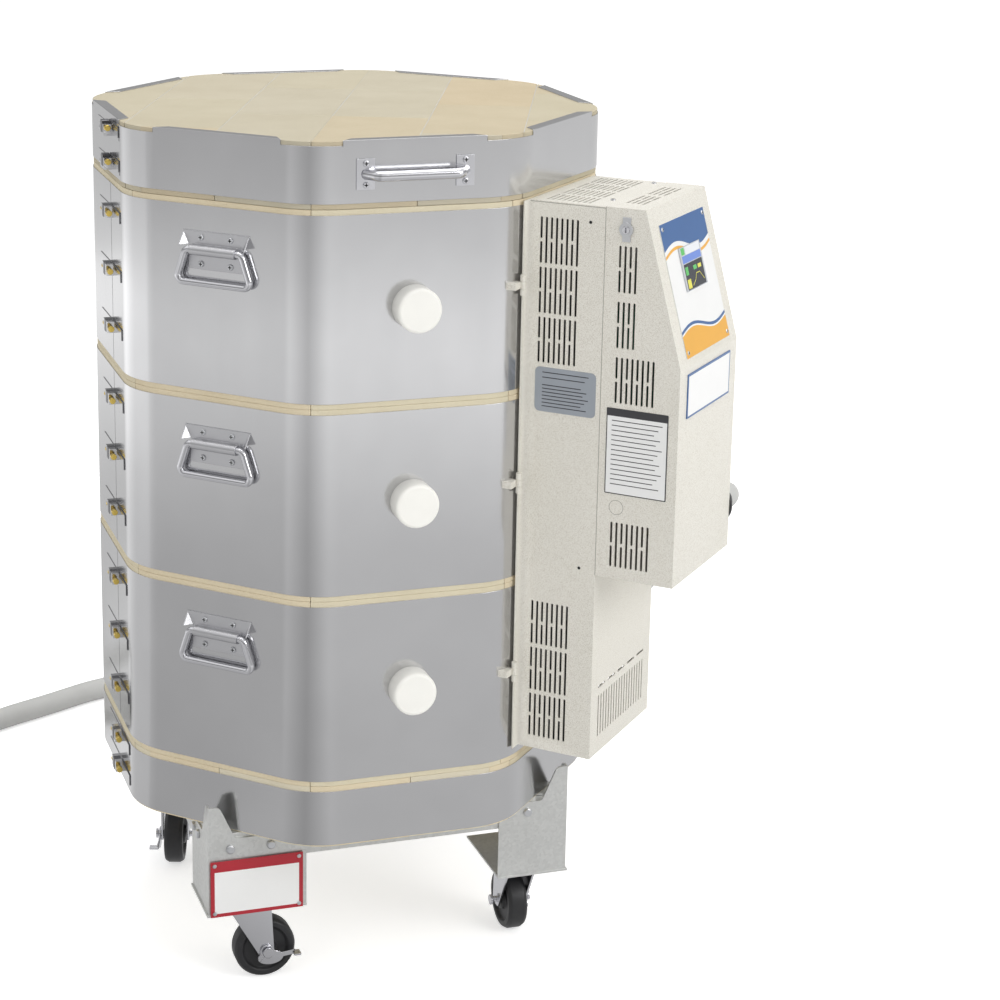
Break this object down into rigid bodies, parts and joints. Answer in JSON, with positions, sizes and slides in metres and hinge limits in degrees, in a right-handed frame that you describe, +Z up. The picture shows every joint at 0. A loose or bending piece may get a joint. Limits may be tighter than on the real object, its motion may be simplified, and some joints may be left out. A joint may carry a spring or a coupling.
{
  "type": "electric kiln",
  "caption": "Top-loading eight-sided electric kiln with hinged lid, stacked brick sections, element box, controller and caster stand.",
  "frame": {"origin": "on the floor, on the firing chamber's vertical axis", "axes": "+Z up, -Y the front with the lid's pull handle, +X the kiln's right"},
  "size_m": [1.2037, 1.3358, 1.0502],
  "materials": {
    "firebrick": "porous, matte",
    "jacket_steel": "bright rolled stainless sheet",
    "bright_steel": "polished",
    "zinc_plate": "zinc plated",
    "galvanised": "galvanised, dull",
    "yellow_zinc": "yellow passivated",
    "powder_coat": "speckled, fine texture",
    "panel_overlay": "printed overlay",
    "ceramic_white": "fired, satin",
    "tread_rubber": "matte",
    "element_wire": "oxidised",
    "terminal_brass": "satin",
    "board_parts": "matte",
    "cord_grey": "matte",
    "plug_black": "moulded"
  },
  "bodies": {
    "root": {"hinge_base": "galvanised", "hinge_pin": "bright_steel", "hinge_springs": "bright_steel", "heating_elements": "element_wire", "element_holders": "ceramic_white", "jacket_clamps": "jacket_steel", "clamp_screws": "yellow_zinc", "handle_plates": "zinc_plate", "handle_screws": "zinc_plate", "bottom_slab": "firebrick", "bottom_band": "jacket_steel", "stand_rails": "galvanised", "stand_legs": "galvanised", "stand_bolts": "zinc_plate", "caster_plates": "zinc_plate", "box_hinges": "jacket_steel", "element_terminals": "terminal_brass", "thermocouples": "ceramic_white", "power_cord": "cord_grey", "cord_coil": "cord_grey", "cord_plug": "plug_black", "section_1_bricks": "firebrick", "section_1_jacket": "jacket_steel", "section_2_bricks": "firebrick", "section_2_jacket": "jacket_steel", "section_3_bricks": "firebrick", "section_3_jacket": "jacket_steel"},
    "lid": {"lid_slab": "firebrick", "lid_band": "jacket_steel", "lid_handle": "bright_steel", "lid_clamps": "jacket_steel", "lid_hinge_leaf": "galvanised"},
    "box_swing": {"element_box": "powder_coat", "control_box": "powder_coat", "control_panel": "panel_overlay", "control_electronics": "board_parts", "lock_bezel": "zinc_plate", "cord_gland": "plug_black"},
    "lock_core": {"key_switch": "bright_steel"},
    "bail_front_1": {"bail_front_1": "bright_steel"},
    "bail_rear_1": {"bail_rear_1": "bright_steel"},
    "plug_1": {"peephole_plug_1": "ceramic_white"},
    "bail_front_2": {"bail_front_2": "bright_steel"},
    "bail_rear_2": {"bail_rear_2": "bright_steel"},
    "plug_2": {"peephole_plug_2": "ceramic_white"},
    "bail_front_3": {"bail_front_3": "bright_steel"},
    "bail_rear_3": {"bail_rear_3": "bright_steel"},
    "plug_3": {"peephole_plug_3": "ceramic_white"},
    "fork_fl": {"caster_fork_fl": "bright_steel"},
    "wheel_fl": {"wheel_fl": "tread_rubber"},
    "brake_fl": {"brake_lever_fl": "bright_steel"},
    "fork_fr": {"caster_fork_fr": "bright_steel"},
    "wheel_fr": {"wheel_fr": "tread_rubber"},
    "brake_fr": {"brake_lever_fr": "bright_steel"},
    "fork_rr": {"caster_fork_rr": "bright_steel"},
    "wheel_rr": {"wheel_rr": "tread_rubber"},
    "brake_rr": {"brake_lever_rr": "bright_steel"},
    "fork_rl": {"caster_fork_rl": "bright_steel"},
    "wheel_rl": {"wheel_rl": "tread_rubber"},
    "brake_rl": {"brake_lever_rl": "bright_steel"}
  },
  "joints": [
    {"name": "lid_hinge", "type": "hinge", "parent": "root", "child": "lid", "pos_m": [0, 0.3101, 0.978], "axis": [-1, 0, 0], "range_deg": [0, 95]},
    {"name": "box_hinge", "type": "hinge", "parent": "root", "child": "box_swing", "pos_m": [0.13209, -0.28765, 0.6401], "axis": [0, 0, -1], "range_deg": [0, 80]},
    {"name": "key_turn", "type": "hinge", "parent": "box_swing", "child": "lock_core", "pos_m": [0.22854, -0.35723, 0.948], "axis": [-0.7071, -0.7071, 0], "range_deg": [0, 90]},
    {"name": "bail_front_1_lift", "type": "hinge", "parent": "root", "child": "bail_front_1", "pos_m": [-0.2122, -0.2122, 0.916], "axis": [-0.7071, 0.7071, 0], "range_deg": [-3, 90]},
    {"name": "bail_rear_1_lift", "type": "hinge", "parent": "root", "child": "bail_rear_1", "pos_m": [0.2122, 0.2122, 0.916], "axis": [0.7071, -0.7071, 0], "range_deg": [-3, 90]},
    {"name": "plug_1_pull", "type": "slide", "parent": "root", "child": "plug_1", "axis": [0, -1, 0], "range_m": [0, 0.105]},
    {"name": "bail_front_2_lift", "type": "hinge", "parent": "root", "child": "bail_front_2", "pos_m": [-0.2122, -0.2122, 0.6874], "axis": [-0.7071, 0.7071, 0], "range_deg": [-3, 90]},
    {"name": "bail_rear_2_lift", "type": "hinge", "parent": "root", "child": "bail_rear_2", "pos_m": [0.2122, 0.2122, 0.6874], "axis": [0.7071, -0.7071, 0], "range_deg": [-3, 90]},
    {"name": "plug_2_pull", "type": "slide", "parent": "root", "child": "plug_2", "axis": [0, -1, 0], "range_m": [0, 0.105]},
    {"name": "bail_front_3_lift", "type": "hinge", "parent": "root", "child": "bail_front_3", "pos_m": [-0.2122, -0.2122, 0.4588], "axis": [-0.7071, 0.7071, 0], "range_deg": [-3, 90]},
    {"name": "bail_rear_3_lift", "type": "hinge", "parent": "root", "child": "bail_rear_3", "pos_m": [0.2122, 0.2122, 0.4588], "axis": [0.7071, -0.7071, 0], "range_deg": [-3, 90]},
    {"name": "plug_3_pull", "type": "slide", "parent": "root", "child": "plug_3", "axis": [0, -1, 0], "range_m": [0, 0.105]},
    {"name": "swivel_fl", "type": "hinge", "parent": "root", "child": "fork_fl", "pos_m": [-0.168, -0.183, 0.0957], "axis": [0, 0, 1], "continuous": true},
    {"name": "roll_fl", "type": "hinge", "parent": "fork_fl", "child": "wheel_fl", "pos_m": [-0.15, -0.183, 0.0381], "axis": [0, -1, 0], "continuous": true},
    {"name": "brake_fl_press", "type": "hinge", "parent": "fork_fl", "child": "brake_fl", "pos_m": [-0.15, -0.183, 0.0381], "axis": [0, 1, 0], "range_deg": [0, 25]},
    {"name": "swivel_fr", "type": "hinge", "parent": "root", "child": "fork_fr", "pos_m": [0.183, -0.168, 0.0957], "axis": [0, 0, 1], "continuous": true},
    {"name": "roll_fr", "type": "hinge", "parent": "fork_fr", "child": "wheel_fr", "pos_m": [0.183, -0.15, 0.0381], "axis": [1, 0, 0], "continuous": true},
    {"name": "brake_fr_press", "type": "hinge", "parent": "fork_fr", "child": "brake_fr", "pos_m": [0.183, -0.15, 0.0381], "axis": [-1, 0, 0], "range_deg": [0, 25]},
    {"name": "swivel_rr", "type": "hinge", "parent": "root", "child": "fork_rr", "pos_m": [0.168, 0.183, 0.0957], "axis": [0, 0, 1], "continuous": true},
    {"name": "roll_rr", "type": "hinge", "parent": "fork_rr", "child": "wheel_rr", "pos_m": [0.15, 0.183, 0.0381], "axis": [0, 1, 0], "continuous": true},
    {"name": "brake_rr_press", "type": "hinge", "parent": "fork_rr", "child": "brake_rr", "pos_m": [0.15, 0.183, 0.0381], "axis": [0, -1, 0], "range_deg": [0, 25]},
    {"name": "swivel_rl", "type": "hinge", "parent": "root", "child": "fork_rl", "pos_m": [-0.183, 0.168, 0.0957], "axis": [0, 0, 1], "continuous": true},
    {"name": "roll_rl", "type": "hinge", "parent": "fork_rl", "child": "wheel_rl", "pos_m": [-0.18856, 0.15088, 0.0381], "axis": [-0.9511, 0.309, 0], "continuous": true},
    {"name": "brake_rl_press", "type": "hinge", "parent": "fork_rl", "child": "brake_rl", "pos_m": [-0.18856, 0.15088, 0.0381], "axis": [0.9511, -0.309, 0], "range_deg": [0, 25]}
  ]
}
